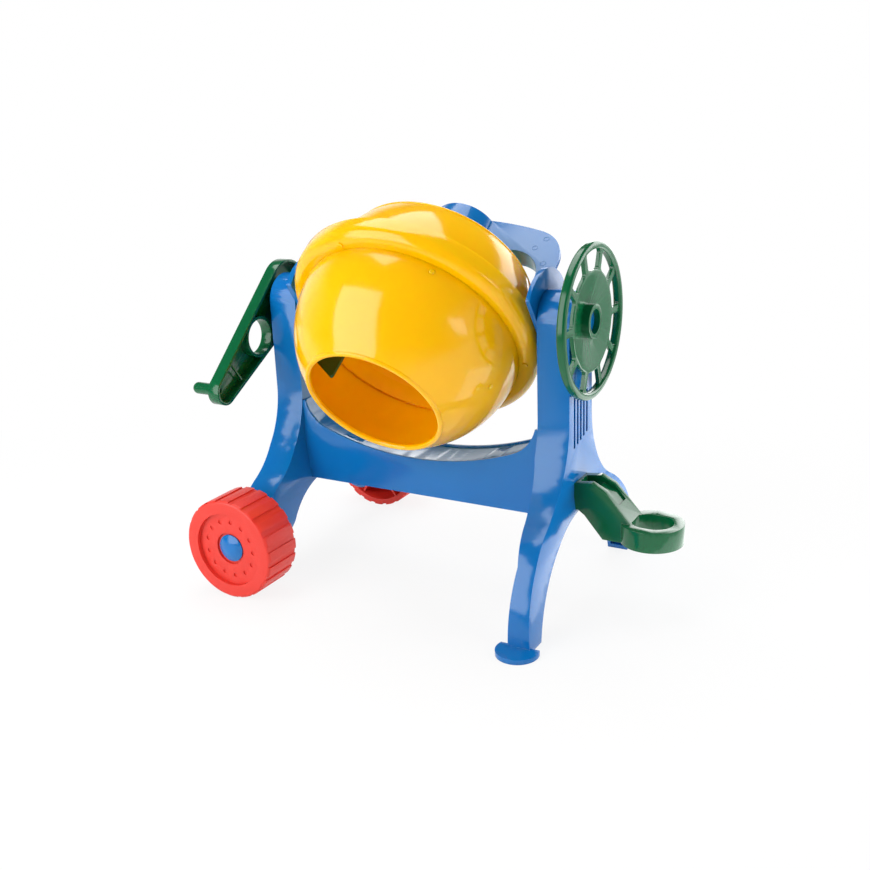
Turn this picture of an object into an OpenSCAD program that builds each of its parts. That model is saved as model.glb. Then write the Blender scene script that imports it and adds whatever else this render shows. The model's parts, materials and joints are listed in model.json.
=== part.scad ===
// Hand-cranked toy concrete mixer for the sand pit, all moulded plastic.
// A two-piece drum turns in a tilting yoke that hangs between two arched towers.
// X runs along the tilt axis from the crank to the tow ring, the drum pours to the
// front, which is minus Y, and Z is up from the floor.

/* [Drum] */
// Angle of the drum axis below level, mouth to the front
pour_angle = 34.7; // [25:0.1:45]
// Radius of the mouth, on the outside of the bowl
mouth_r = 59.8; // [52:0.2:66]
// Thickness of the rolled rim round the mouth
rim_d = 4.8; // [4:0.2:6]
// Outside radius of the front bowl and of the rear bowl
bowl_r = 98; // [96:0.25:98.5]
// Seam of the two bowls, in front of the tilt axis
seam_s = 29.5; // [27:0.5:33]
// Height of the collar over the bowls
collar_rise = 14; // [13.5:0.25:16]
// Back edge of the collar, in front of the tilt axis
collar_s = 10; // [9.5:0.25:10.5]
// Rounding of the collar's front edge
collar_round = 10; // [6:0.5:11]
// Rear edge of the drum, behind the tilt axis
rear_s = 37.8; // [34:0.2:42]
// Depth of the domed bottom behind the rear edge
dome_depth = 20; // [16:0.5:21]
// Wall of the drum shells
drum_wall = 3; // [2.4:0.2:3.4]
// Radius of the hub in the drum bottom
hub_r = 15; // [13:0.5:18]
// Length of that hub
hub_l = 22.5; // [18:0.5:26]
// How far that hub stands out behind the dome
hub_out = 2.5; // [2:0.25:4]
// Number of rivets along the seam, and of bosses on the collar
rivet_count = 3; // [2:1:6]
// Radius of a rivet head
rivet_r = 2.4; // [2:0.1:3]
// Distance of the seam rivets in front of the seam
rivet_s = 6; // [5.5:0.25:7]
// Distance of the blade rivets in front of the seam
blade_rivet_s = 40; // [34:0.5:44]
// Thickness of a mixing blade
blade_t = 3; // [2:0.25:4]
// Distance of a mixing blade's free edge from the drum axis
blade_in_r = 51; // [44:0.5:60]
// Front tip of a mixing blade, in front of the tilt axis
blade_tip_s = 87; // [78:0.5:90]
// Slant of a mixing blade's front edge, back towards the bowl
blade_slant = 34; // [28:0.5:40]

/* [Drive] */
// Teeth of the gear ring under the collar
ring_teeth = 80; // [76:1:84]
// Teeth of the crank pinion
pinion_teeth = 10; // [10:1:11]
// Height of the middle of the gear ring's teeth over the bowls
ring_rise = 6; // [5.5:0.1:6.2]
// Length of the gear ring's teeth
ring_face = 9; // [8:0.25:9.5]
// Length of the pinion's teeth
pinion_w = 6.5; // [5:0.25:7]
// Thinning of each tooth for free running
backlash = 0.5; // [0.45:0.05:0.7]
// Pressure angle of the teeth
pressure_angle = 25; // [25:0.5:27]
// Radius of the crank shaft
shaft_r = 5; // [4:0.25:5.5]

/* [Towers] */
// Height of the tilt axis above the floor
pivot_h = 238; // [236:1:246]
// Width of a tower along the tilt axis
tower_w = 28; // [26:0.5:32]
// How far the towers stand to the left of the drum's middle
tower_shift = 1; // [0:0.25:2]
// Half depth of a tower's column, and radius of its round head
column_r = 24; // [22:0.5:26]
// Wall of the moulded stand
wall = 3; // [2.5:0.25:3.5]
// Radius of the hollow sweep from column to leg
sweep_r = 84; // [80:1:88]
// Height of the centre of that sweep
sweep_h = 160; // [158:1:164]
// Radius of the round haunch of a leg
haunch_r = 88; // [84:1:90]
// Slope of a leg where sweep and haunch meet
haunch_slope = 63.56; // [60:0.02:66]
// Radius of the arch under the right tower
right_arch_r = 100; // [98:0.5:101]
// Height of the top of that arch
right_arch_h = 78; // [76:0.5:79]
// Radius of the arch under the left tower
left_arch_r = 75; // [72:0.5:77]
// Height of the top of that arch
left_arch_h = 74; // [72:0.5:76]
// Front of the left legs, behind the wheel
left_leg_y = 98.5; // [96:0.25:99.5]
// How far the left legs lean in to the wheels
left_lean = 8; // [6:0.5:10]
// How far the right legs spread outwards at the floor
right_splay = 7; // [4:0.5:9]
// How far the right legs narrow from the inside
right_taper = 16; // [12:0.5:17]
// Number of vent slots in the right tower
slot_count = 5; // [3:1:6]
// Width of a vent slot
slot_w = 3.4; // [2.4:0.2:4]
// Spacing of the vent slots
slot_pitch = 6.6; // [6:0.1:7]

/* [Cross panel] */
// Half depth of the cross panel
panel_half_d = 24; // [22:0.5:26]
// Height of the panel's lower edge
panel_low = 75; // [73:0.5:80]
// Height of the saddle at its lowest place
saddle_h = 107; // [100:0.5:110]
// Radius of the long saddle curve
saddle_r = 274; // [250:2:300]
// Radius of the saddle's ends
saddle_end_r = 36; // [30:0.5:40]
// How far the panel's upper corners end below the centres of those curves
saddle_lip = 8; // [6:0.5:12]
// Height of the bead along the saddle's edges
bead_h = 1.6; // [1:0.1:2.2]
// Width of that bead
bead_w = 3; // [2:0.25:4]

/* [Feet and wheels] */
// How far the round of a foot plate is centred in front of its leg
foot_step = 2.8; // [0:0.2:4]
// Radius of a half-round foot plate
foot_r = 17.5; // [16:0.5:20]
// Thickness of a foot plate
foot_t = 4; // [3:0.25:5]
// Radius of a wheel over its lugs
wheel_r = 45; // [43:0.25:46]
// Width of a wheel
wheel_w = 38; // [34:0.5:38.5]
// Number of lugs round a wheel
lug_count = 20; // [16:1:24]
// Width of a groove between two lugs
groove_w = 5; // [3:0.25:6]
// Depth of a groove between two lugs
groove_d = 1.2; // [0.8:0.1:2]
// Thickness of the tread under the lugs, lugs included
tread_t = 6; // [5.5:0.25:7]
// Rounding of the tread's outer edge
tread_round = 3; // [2:0.25:4]
// Inside radius of the raised ring on the wheel face
face_ring_r = 33; // [31:0.5:35]
// Depth of the wheel face behind that ring
face_depth = 4; // [3:0.25:6]
// Number of dimples in the wheel face
dimple_count = 13; // [8:1:16]
// Radius of a dimple
dimple_r = 2; // [1.5:0.1:2.5]
// Radius of a wheel axle
axle_r = 6; // [5:0.25:6.5]
// Length of an axle's seat in its leg
axle_seat_l = 24; // [18:0.5:28]
// Wall of that seat
axle_wall = 5; // [4:0.25:6]
// Radius of the hub cap
cap_r = 12.3; // [11:0.1:13]

/* [Yoke] */
// Rear end of the spindle boss, behind the tilt axis
yoke_back_s = 100; // [98:0.5:104]
// How far the band's bowed rear edge stands out behind that end
yoke_bow = 2.5; // [2:0.25:4]
// Width of the yoke's rear band
yoke_band = 34; // [30:0.5:35]
// Inside of the yoke's arms, inwards from the bowls' radius
yoke_inset = 4; // [2:0.5:7]
// Width of the yoke's arms
yoke_arm_w = 14; // [12:0.5:17]
// Thickness of the band's plate
yoke_plate_t = 4; // [3:0.25:5]
// How far the plate stands out over the rib under it
yoke_lip = 7; // [4:0.5:8]
// Place of the corner rounds, behind the tilt axis
yoke_corner_s = 54; // [50:0.5:56]
// Outside radius of the yoke's corners
yoke_round = 38; // [30:1:44]
// Inside radius of the yoke's corners
yoke_in_round = 33; // [26:1:34]
// Thickness of the yoke above the drum axis
yoke_up = 10; // [8.5:0.25:11]
// Thickness of the yoke below the drum axis
yoke_down = 8; // [7:0.25:9]
// Radius of the spindle boss
boss_r = 31; // [28:0.5:33]
// Front ends of the yoke's arms, behind the tilt axis
arm_s = 33; // [30:0.5:34]
// Depth of the flanges at those ends, below the drum axis
flange_down = 26; // [18:0.5:30]
// Thickness of the flanges
flange_t = 9; // [7:0.25:10]
// Radius of the ears that carry the trunnions, behind the tilt axis
ear_r = 41; // [39:0.5:43]
// Straight front edge of the ears, in front of it
ear_front_s = 18; // [14:0.5:24]
// Room between the collar and an ear
ear_gap = 1; // [0.75:0.05:1.5]
// Radius of the two trunnions
trunnion_r = 10; // [9.5:0.25:11]
// Radius of the drum spindle
spindle_r = 6; // [5:0.25:6.5]

/* [Crank] */
// Distance of the handle from the tilt axis
crank_l = 112; // [104:0.5:118]
// Angle of the crank arm below level, handle to the front
crank_angle = 36; // [10:1:70]
// How far the round head reaches past the shaft
crank_tail = 12; // [8:0.5:14]
// Radius of the crank's round head
crank_head_r = 27; // [24:0.5:30]
// Radius of the crank's handle end
crank_tip_r = 12.5; // [11:0.5:15]
// Room between the left tower and the crank
crank_gap = 3; // [2:0.25:4]
// Depth of the crank's tray
crank_d = 11; // [10:0.25:13]
// Wall of the crank's tray
crank_wall = 2.6; // [2:0.2:3]
// Radius of the round window in the arm
window_r = 16; // [13:0.25:16.5]
// Distance of that window from the tilt axis
window_l = 48; // [44:0.5:52]
// Length of the handle
handle_l = 26; // [22:0.5:34]
// Radius of the handle
handle_r = 5.3; // [4.5:0.1:6.5]

/* [Hand wheel] */
// Radius of the hand wheel
hand_r = 63.4; // [60:0.2:68]
// Radial width of its rim
hand_rim_w = 6.3; // [5.5:0.1:8]
// Thickness of its rim
hand_rim_t = 7.4; // [6:0.2:8]
// Radius of its solid middle
hand_disc_r = 41; // [36:0.5:44]
// Thickness of its web
hand_web_t = 3.2; // [2.6:0.2:4]
// How far its middle is set back towards the tower
hand_dish = 5; // [2:0.25:5.5]
// Number of windows round the web
hand_window_count = 10; // [8:1:12]
// Width of a spoke between two windows
hand_spoke_w = 5.5; // [4.5:0.25:8]
// Rim's middle beyond the right tower
hand_offset = 8.7; // [8.5:0.1:11]
// Radius of the hollow boss
hand_boss_r = 14; // [13:0.25:16]
// How far the boss stands out from the rim's middle
hand_boss_l = 3.5; // [2:0.25:8]
// Depth of the trunnion's end inside the boss
hand_boss_well = 5; // [3:0.25:6]

/* [Tow hitch] */
// Centre of the tow ring from the middle of the drum
ring_x = 208; // [204:0.5:214]
// Outside radius of the tow ring
ring_r = 26; // [24:0.5:29]
// Width of the eye
eye_w = 31; // [28:0.5:34]
// Straight length in the middle of the eye
eye_straight = 4; // [2:0.5:6]
// Height of the ring's upper face
ring_h = 75; // [72:0.5:77]
// Thickness of the ring
ring_t = 17; // [14:0.5:18]
// Width of the hitch arm
hitch_w = 28; // [24:0.5:30]
// Height of the arm's upper face at the tower
hitch_h = 104; // [100:0.5:105]
// Height of the arm's root
hitch_root_h = 23; // [20:0.5:23.5]
// Length of the hitch's root in the tower
hitch_seat_l = 10; // [8:0.5:11]
// Distance of the arm's bend from the tower
hitch_bend = 15; // [12:0.5:18]
// Rise of the arm towards that bend
hitch_rise = 2; // [1:0.25:3]
// Length of the arm's shoulder behind the bend
hitch_shoulder = 12; // [9:0.5:14]
// How far the arm reaches over the ring
hitch_land = 12; // [10:0.5:14]
// Length of the arm's straight underside before it bends down
hitch_knee = 9; // [7:0.5:11]
// Width of the channel along the arm
channel_w = 15; // [10:0.5:18]
// Depth of that channel
channel_d = 6; // [3:0.25:7]

/* [Clearances] */
// Radial clearance of a running fit
run_gap = 0.06; // [0.03:0.01:0.1]
// Clearance of a piece pushed home in its seat
seat_gap = 0.03; // [0.02:0.01:0.05]
// Room between pieces that move past each other
free_gap = 0.5; // [0.4:0.05:0.6]
// Room left and right of the collar for the ears of the yoke
tower_room = 6; // [5.5:0.25:8]

/* [Hidden] */
$fn = 96;
eps = 0.5;

yellow = "#FFCC00";
blue = "#2F6FC0";
green = "#0B6B3A";
red = "#EE3E2A";
steel = "#B9BDC3";

// Faces of the two towers along the tilt axis, worked outwards from the collar
collar_r = bowl_r + collar_rise;
right_in = collar_r + tower_room - tower_shift;
right_out = right_in + tower_w;
left_in = -(collar_r + tower_room + tower_shift);
left_out = left_in - tower_w;
tower_top = pivot_h + column_r;

// Places of the leg curves, which cross by the blend so that they never only touch
sweep_y = column_r + sweep_r;
leg_blend = 0.03;
curve_l = sweep_r + haunch_r - leg_blend;
haunch_h = sweep_h - curve_l * sin(haunch_slope);
haunch_y = sweep_y - curve_l * cos(haunch_slope);
span_y = haunch_y + haunch_r;
floor_y = haunch_y + sqrt(pow(haunch_r, 2) - pow(haunch_h, 2));

// Axles and wheels
axle_h = wheel_r;
axle_x = left_in - tower_w / 2 + left_lean;
foot_y = floor_y + foot_step;
wheel_front = foot_y + foot_r;
wheel_back = wheel_front - wheel_w;
axle_in_y = left_leg_y - axle_seat_l;
axle_boss_r = axle_r + axle_wall;
leg_end_r = tower_w / 2;
lean_h = 108;
cap_t = 4;
cap_sink = 1.5;
cap_well_r = cap_r + 2.2;
wheel_hub_r = cap_well_r + 3;
rib_t = 2.4;
wheel_ribs = 6;

// Drum sizes along its axis, from the tilt axis towards the mouth
mouth_a = asin(mouth_r / bowl_r);
rear_rim_r = sqrt(pow(bowl_r, 2) - pow(rear_s + collar_s, 2));
lip_r = 1.7;
dome_r = (pow(rear_rim_r, 2) + pow(dome_depth, 2)) / (2 * dome_depth);
dome_s = rear_s + dome_depth;
hub_back_s = dome_s + hub_out;
hub_front_s = hub_back_s - hub_l;
bush_r = spindle_r + 3;
spigot_l = 8;

// Gear ring and pinion
ring_mid_r = bowl_r + ring_rise;
gear_m = 2 * ring_mid_r / ring_teeth;
pitch_r = gear_m * pinion_teeth / 2;
tooth_t = gear_m * PI / 2 - backlash;
ring_add = 0.8 * gear_m;
ring_ded = gear_m;
pinion_add = 0.85 * gear_m;
pinion_ded = 1.05 * gear_m;
ring_root_s = pitch_r + ring_ded;
ring_floor_s = ring_root_s + 3;
ring_in_r = ring_mid_r - ring_face / 2;
ring_out_r = ring_mid_r + ring_face / 2;
skirt_in_r = ring_out_r + free_gap;
pinion_in = -(ring_mid_r - pinion_w / 2);
pinion_out = -(ring_mid_r + pinion_w / 2);
pinion_hub_r = shaft_r + 3;
pinion_tip_r = pitch_r + pinion_add;

// Yoke places
yoke_in_w = bowl_r - yoke_inset;
yoke_half_w = yoke_in_w + yoke_arm_w;
yoke_corner_x = yoke_half_w - yoke_round;
bow_l = yoke_back_s + yoke_bow - yoke_round;
bow_s = (pow(yoke_corner_x, 2) + pow(yoke_corner_s, 2) - pow(bow_l, 2))
    / (2 * max(1, bow_l - yoke_corner_s));
bow_r = bow_s + yoke_back_s + yoke_bow;
ear_in = collar_r + ear_gap;
left_ear_out = left_in + free_gap;
right_ear_out = right_in - free_gap;
boss_front_s = hub_back_s + 1;
boss_wall = 4;
tube_r = spindle_r + 4;

// Crank and hand wheel along the tilt axis
crank_in = left_out - crank_gap;
crank_out = crank_in - crank_d;
crank_boss_r = shaft_r + 4;
hand_x = right_out + hand_offset;
hand_boss_in = right_out + 2 * free_gap;
hand_boss_out = hand_x + hand_boss_l;
trunnion_out = hand_boss_out - hand_boss_well;

// Bearings in the tower heads
bush_wall = 3;
head_bore_r = trunnion_r + bush_wall;
head_tube_r = head_bore_r + wall;

// Screws, alike all over the toy
screw_r = 2;
screw_head_r = 4;
screw_head_t = 2.4;
screw_l = 14;

// Hitch places
hitch_seat = right_out - hitch_seat_l;
hitch_low = hitch_h - hitch_root_h;
hitch_screw_y = hitch_w / 4;

// The middle of the toy's length is the origin
mid_x = (ring_x + ring_r + crank_out - handle_l) / 2;

module placed() {
    translate([-mid_x, 0, 0]) children();
}

module at_pivot() {
    translate([0, 0, pivot_h]) children();
}

// Own axes of the drum and yoke: Z out of the mouth, X along the tilt axis
module drum_axes() {
    at_pivot() rotate([90 + pour_angle, 0, 0]) children();
}

module x_cyl(x0, x1, r) {
    translate([min(x0, x1), 0, 0]) rotate([0, 90, 0]) cylinder(h = abs(x1 - x0), r = r);
}

module y_cyl(y0, y1, r) {
    translate([0, max(y0, y1), 0]) rotate([90, 0, 0]) cylinder(h = abs(y1 - y0), r = r);
}

module z_cyl(z0, z1, r) {
    translate([0, 0, min(z0, z1)]) cylinder(h = abs(z1 - z0), r = r);
}

// A flat shape in Y and Z, made thick along X
module along_x(x0, x1) {
    translate([x0, 0, 0]) rotate([90, 0, 90]) linear_extrude(x1 - x0) children();
}

// A flat shape in X and Z, made thick along Y
module along_y(y0, y1) {
    translate([0, y1, 0]) rotate([90, 0, 0]) linear_extrude(y1 - y0) children();
}

module box(lo, hi) {
    translate(lo) cube(hi - lo);
}

module on_both_ys() {
    children();
    mirror([0, 1, 0]) children();
}

function polar(r, a) = [r * cos(a), r * sin(a)];

// Part of a disc's edge: a ring between two radii
module ring_2d(r_out, r_in) {
    difference() {
        circle(r_out);
        circle(r_in);
    }
}

// Two round ends joined by their common tangents
module link_2d(r0, r1, l) {
    a = acos((r0 - r1) / l);
    circle(r0);
    translate([l, 0]) circle(r1);
    polygon([polar(r0, a), polar(r0, -a), [l, 0] + polar(r1, -a), [l, 0] + polar(r1, a)]);
}

// Side outline of a tower, drawn inside the true one by e
module tower_side(arch_r, arch_h, e) {
    difference() {
        union() {
            translate([0, pivot_h]) circle(column_r - e);
            translate([e - column_r, sweep_h]) square([2 * (column_r - e), pivot_h - sweep_h]);
            for (side = [-1, 1]) {
                difference() {
                    polygon([
                        [0, 0], [0, sweep_h], [side * sweep_y, sweep_h], [side * haunch_y, max(0, haunch_h)]
                    ]);
                    translate([side * sweep_y, sweep_h]) circle(sweep_r + e);
                }
                intersection() {
                    translate([side * haunch_y, haunch_h]) circle(haunch_r - e);
                    translate([-span_y, 0]) square([2 * span_y, sweep_h]);
                }
            }
        }
        translate([0, arch_h - arch_r]) circle(arch_r);
    }
}

// Front outline of the left tower, whose legs lean in to the axles
module left_front(e) {
    polygon([
        [left_out + e, tower_top], [left_out + e, lean_h], [axle_x - leg_end_r + e, axle_h],
        [axle_x + leg_end_r - e, axle_h], [left_in - e, lean_h], [left_in - e, tower_top]
    ]);
    translate([axle_x, axle_h]) circle(leg_end_r - e);
}

// Front outline of the right tower, whose legs narrow and spread to the feet
taper_h = [128, 92, 62];
module right_front(e) {
    polygon([
        [right_in + e, tower_top], [right_in + e, taper_h[0]],
        [right_in + 0.4 * right_taper + e, taper_h[1]], [right_in + right_taper + e, taper_h[2]],
        [right_in + right_taper + e, 0], [right_out + right_splay - e, 0],
        [right_out + right_splay / 2 - e, taper_h[2]], [right_out - e, taper_h[1]],
        [right_out - e, tower_top]
    ]);
}

// Places of the screws that pull the cross panel against the towers
module at_panel_screws() {
    for (sy = [-1, 1])
        translate([0, sy * (panel_half_d - wall - 1.5 * screw_head_r), lean_h + 2 * screw_head_r]) children();
}

module head_bearing(x0, x1, r) {
    at_pivot() x_cyl(x0, x1, r);
}

module left_leg_block(e) {
    intersection() {
        along_x(left_out, axle_x + leg_end_r) tower_side(left_arch_r - e, left_arch_h - e, e);
        along_y(e - left_leg_y, left_leg_y - e) left_front(e);
    }
}

module left_tower() {
    placed() color(blue) difference() {
        union() {
            difference() {
                left_leg_block(0);
                left_leg_block(wall);
            }
            head_bearing(left_out + 1, left_in - 1, head_tube_r);
            at_panel_screws() x_cyl(left_in - screw_l, left_in - 1, screw_head_r);
            on_both_ys() translate([axle_x, 0, axle_h]) {
                y_cyl(-axle_in_y, 1 - left_leg_y, axle_boss_r);
                y_cyl(free_gap - wheel_back, 1 - left_leg_y, axle_boss_r);
            }
        }
        head_bearing(left_out - eps, left_in + eps, head_bore_r);
        at_panel_screws() x_cyl(left_in - screw_l - eps, left_in + eps, screw_r);
        on_both_ys() translate([axle_x, 0, axle_h]) y_cyl(eps - axle_in_y, -wheel_back, axle_r + seat_gap);
    }
}

module right_leg_block(e) {
    intersection() {
        along_x(right_in, right_out + right_splay) tower_side(right_arch_r - e, right_arch_h - e, e);
        union() {
            along_y(-span_y, span_y) right_front(e);
            box([right_in + e, e - panel_half_d, right_arch_h / 2],
                [right_out - e, panel_half_d - e, taper_h[0]]);
        }
    }
}

slot_low = 134;
slot_high = 178;
slot_step = 1.8;
foot_x = (right_in + right_taper + right_out + right_splay) / 2;

// Pocket box that holds the root of the tow hitch
module hitch_pocket(grow) {
    box([hitch_seat - grow, -hitch_w / 2 - seat_gap - grow, hitch_low - seat_gap - grow],
        [right_out + right_splay, hitch_w / 2 + seat_gap + grow, hitch_h + seat_gap + grow]);
}

module right_tower() {
    placed() color(blue) difference() {
        union() {
            difference() {
                right_leg_block(0);
                intersection() {
                    right_leg_block(wall);
                    box([right_in, -span_y, foot_t], [right_out + right_splay, span_y, tower_top]);
                }
            }
            head_bearing(right_in + 1, right_out - 1, head_tube_r);
            at_panel_screws() x_cyl(right_in + 1, right_in + screw_l, screw_head_r);
            intersection() {
                hitch_pocket(wall);
                right_leg_block(0);
            }
            on_both_ys() translate([foot_x, -foot_y, 0]) intersection() {
                cylinder(h = foot_t, r = foot_r);
                box([-foot_r, -foot_r, 0], [foot_r, 2 * foot_step, foot_t]);
            }
        }
        head_bearing(right_in - eps, right_out + eps, head_bore_r);
        at_panel_screws() x_cyl(right_in - eps, right_in + screw_l + eps, screw_r);
        hitch_pocket(0);
        at_hitch_screws() x_cyl(hitch_seat - wall - eps, hitch_seat + eps, screw_r + seat_gap);
        for (i = [0 : slot_count - 1])
            translate([right_out - wall - eps, (i - (slot_count - 1) / 2) * slot_pitch - slot_w / 2, 0])
                box([0, 0, slot_low + i * slot_step], [wall + 2 * eps, slot_w, slot_high]);
    }
}

// Everything above the saddle, drawn lower by e
panel_mid = (left_in + right_in) / 2;
panel_half_w = (right_in - left_in) / 2;
saddle_c = saddle_h + saddle_r;
saddle_end_x = panel_half_w - saddle_end_r;
saddle_end_h = saddle_c - sqrt(pow(saddle_r - saddle_end_r, 2) - pow(saddle_end_x, 2));
saddle_top = saddle_end_h - saddle_lip;
module saddle_cut(e) {
    touch_x = saddle_end_x * (saddle_r + e) / (saddle_r - saddle_end_r);
    intersection() {
        translate([0, saddle_c]) circle(saddle_r + e);
        translate([-touch_x, 0]) square([2 * touch_x, saddle_c]);
    }
    for (side = [-1, 1])
        translate([side * saddle_end_x, saddle_end_h]) circle(saddle_end_r + e);
    translate([-panel_half_w - wall, saddle_end_h]) square([2 * (panel_half_w + wall), saddle_r]);
}

module panel_front(e) {
    difference() {
        translate([e - panel_half_w, panel_low - e])
            square([2 * (panel_half_w - e), saddle_top - panel_low + e]);
        saddle_cut(e);
        translate([-panel_mid, 0]) left_front(-e);
    }
}

module cross_panel() {
    placed() translate([panel_mid, 0, 0]) color(blue) difference() {
        union() {
            along_y(-panel_half_d, panel_half_d) panel_front(0);
            on_both_ys() along_y(-panel_half_d, bead_w - panel_half_d) difference() {
                panel_front(-bead_h);
                translate([-2 * panel_half_w, 0]) square([4 * panel_half_w, panel_low]);
                translate([-panel_mid, 0]) left_front(0);
                translate([panel_half_w, 0]) square([tower_w, saddle_r]);
            }
        }
        along_y(wall - panel_half_d, panel_half_d - wall) panel_front(wall);
        at_panel_screws() x_cyl(-panel_half_w - eps, panel_half_w + eps, screw_r + seat_gap);
    }
}

// A screw lying along X, its head at x and its point on the side given by dir
module x_screw(x, dir) {
    x_cyl(x - dir * screw_head_t, x, screw_head_r);
    x_cyl(x - dir * eps, x + dir * (screw_l - 2), screw_r - seat_gap);
}

module frame_screws() {
    placed() color(steel) at_panel_screws() {
        x_screw(left_in + wall, -1);
        x_screw(right_in - wall, 1);
    }
}

// Sleeve that lines a tower head
module tower_bush(x0, x1) {
    placed() at_pivot() color(green) difference() {
        x_cyl(x0, x1, head_bore_r - seat_gap);
        x_cyl(x0 - eps, x1 + eps, trunnion_r + run_gap);
    }
}

module left_bush() {
    tower_bush(left_out, left_in);
}

module right_bush() {
    tower_bush(right_in, right_out);
}

// Side outline of the hitch: root, bend, slanting arm and landing on the ring
hitch_bend_x = right_out + hitch_bend;
ring_low = ring_h - ring_t;
ring_back_x = ring_x - ring_r;
module hitch_side() {
    polygon([
        [hitch_seat, hitch_low], [hitch_seat, hitch_h], [right_out, hitch_h],
        [hitch_bend_x, hitch_h + hitch_rise], [hitch_bend_x + hitch_shoulder, hitch_h - 2 * hitch_rise],
        [ring_back_x + hitch_land, ring_h],
        [ring_back_x + hitch_land, ring_low], [ring_back_x - hitch_land, ring_low],
        [right_out + hitch_knee, hitch_low - 2 * hitch_rise], [right_out + right_splay / 2, hitch_low]
    ]);
}

module at_hitch_screws() {
    for (sy = [-1, 1])
        translate([0, sy * hitch_screw_y, (hitch_low + hitch_h) / 2]) children();
}

module tow_hitch() {
    placed() color(green) difference() {
        union() {
            along_y(-hitch_w / 2, hitch_w / 2) hitch_side();
            translate([ring_x, 0, 0]) z_cyl(ring_low, ring_h, ring_r);
        }
        along_y(-channel_w / 2, channel_w / 2) intersection() {
            translate([channel_d / 2, -channel_d]) difference() {
                translate([right_out, ring_low]) square([ring_x - right_out, hitch_h]);
                hitch_side();
            }
            translate([right_out, ring_h - channel_d]) square([ring_x - ring_r - right_out, hitch_h]);
        }
        translate([ring_x, 0, 0]) {
            for (side = [-1, 1])
                translate([side * eye_straight / 2, 0, 0]) z_cyl(ring_low - eps, ring_h + eps, eye_w / 2);
            box([-eye_straight / 2, -eye_w / 2, ring_low - eps], [eye_straight / 2, eye_w / 2, ring_h + eps]);
        }
        at_hitch_screws() x_cyl(hitch_seat - eps, hitch_seat + screw_l, screw_r);
    }
}

module hitch_screws() {
    placed() color(steel) at_hitch_screws() x_screw(hitch_seat - wall, 1);
}

// Axle driven into a leg, with the round cap that keeps the wheel on
module axle_pin() {
    cap_back = wheel_front - cap_sink - cap_t;
    translate([axle_x, 0, axle_h]) {
        y_cyl(eps - axle_in_y, -cap_back, axle_r);
        intersection() {
            y_cyl(-cap_back, -cap_back - cap_t, cap_r);
            translate([0, 2 * cap_r - cap_back - cap_t, 0]) sphere(2 * cap_r);
        }
    }
}

module front_axle() {
    placed() color(blue) axle_pin();
}

module rear_axle() {
    placed() color(blue) mirror([0, 1, 0]) axle_pin();
}

// A wheel about Z, its outer face upwards
module wheel_body() {
    face_z = wheel_w - face_depth;
    inner_r = wheel_r - tread_t;
    cap_seat = wheel_w - cap_sink - cap_t - free_gap;
    difference() {
        union() {
            rotate_extrude() difference() {
                union() {
                    translate([inner_r, 0]) square([tread_t, wheel_w - tread_round]);
                    translate([inner_r, 0]) square([tread_t - tread_round, wheel_w]);
                    translate([wheel_r - tread_round, wheel_w - tread_round]) circle(tread_round);
                    translate([face_ring_r, face_z - wall])
                        square([inner_r - face_ring_r + eps, wall + face_depth]);
                    translate([0, face_z - wall]) square([inner_r + eps, wall]);
                    square([wheel_hub_r, face_z]);
                }
                square([axle_r + run_gap, wheel_w]);
                translate([0, cap_seat]) square([cap_well_r, wheel_w]);
            }
            for (i = [0 : wheel_ribs - 1])
                rotate([0, 0, i * 360 / wheel_ribs])
                    box([wheel_hub_r - 1, -rib_t / 2, wall], [inner_r + 1, rib_t / 2, face_z - 1]);
        }
        for (i = [0 : lug_count - 1])
            rotate([0, 0, (i + 0.5) * 360 / lug_count - 90])
                box([wheel_r - groove_d, -groove_w / 2, -eps], [wheel_r + eps, groove_w / 2, wheel_w + eps]);
        for (i = [0 : dimple_count - 1])
            rotate([0, 0, i * 360 / dimple_count])
                translate([(cap_well_r + face_ring_r) / 2 + 1, 0, face_z - wall / 3])
                    cylinder(h = wall, r = dimple_r);
    }
}

module front_wheel() {
    placed() color(red) translate([axle_x, -wheel_back, axle_h]) rotate([90, 0, 0]) wheel_body();
}

module rear_wheel() {
    placed() color(red) mirror([0, 1, 0])
        translate([axle_x, -wheel_back, axle_h]) rotate([90, 0, 0]) wheel_body();
}

// A rectangle with round rear corners, open to the front, seen across the drum axis
module rounded_back(half_w, back_s, front_s, round_r) {
    translate([-half_w, round_r - back_s]) square([2 * half_w, back_s - round_r - front_s]);
    translate([round_r - half_w, -back_s]) square([2 * (half_w - round_r), back_s - front_s]);
    for (side = [-1, 1])
        translate([side * (half_w - round_r), round_r - back_s]) circle(round_r);
}

// Outside of the yoke's plan, drawn inside the true one by e: a bowed edge between round corners
module yoke_outline(e) {
    intersection() {
        union() {
            intersection() {
                translate([0, bow_s]) circle(bow_r - leg_blend - e);
                polygon([
                    [0, bow_s], [-2 * yoke_corner_x, -bow_s - 2 * yoke_corner_s],
                    [2 * yoke_corner_x, -bow_s - 2 * yoke_corner_s]
                ]);
            }
            for (side = [-1, 1])
                translate([side * yoke_corner_x, -yoke_corner_s]) circle(yoke_round - e);
            translate([e - yoke_half_w, -yoke_corner_s]) square([2 * (yoke_half_w - e), yoke_corner_s]);
        }
        translate([-2 * yoke_half_w, -2 * yoke_back_s]) square([4 * yoke_half_w, 2 * yoke_back_s - arm_s]);
    }
}

// Plan of the yoke: a band round the back of the drum
module yoke_plan(e) {
    difference() {
        yoke_outline(e);
        rounded_back(yoke_in_w, yoke_back_s - yoke_band, 0, yoke_in_round);
    }
}

// An ear of the yoke: a disc round the tilt axis with a straight front edge
module yoke_ear(x0, x1) {
    intersection() {
        x_cyl(x0, x1, ear_r);
        box([x0, -ear_r, -ear_r], [x1, ear_r, ear_front_s]);
    }
}

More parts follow.
